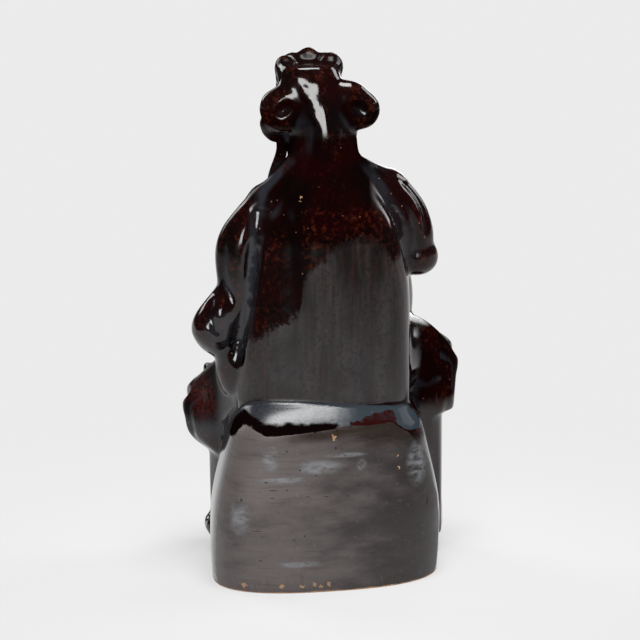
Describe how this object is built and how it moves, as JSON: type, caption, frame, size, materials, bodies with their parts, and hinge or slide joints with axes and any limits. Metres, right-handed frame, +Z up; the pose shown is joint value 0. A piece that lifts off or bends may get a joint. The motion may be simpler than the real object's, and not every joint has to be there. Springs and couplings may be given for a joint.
{
  "type": "god of wealth figure",
  "caption": "Seated bearded god of wealth on a block seat, holding an ingot, one hollow piece of glazed stoneware.",
  "frame": {"origin": "centre of the bounding box at the ground, under the figure", "axes": "+Z up, the figure faces -Y, +X is the figure's own left"},
  "size_m": [0.1164, 0.0904, 0.216],
  "materials": {
    "iron_glaze": "thick glossy brown-black iron glaze, satin on the seat"
  },
  "bodies": {
    "root": {"figure": "iron_glaze"}
  },
  "joints": []
}
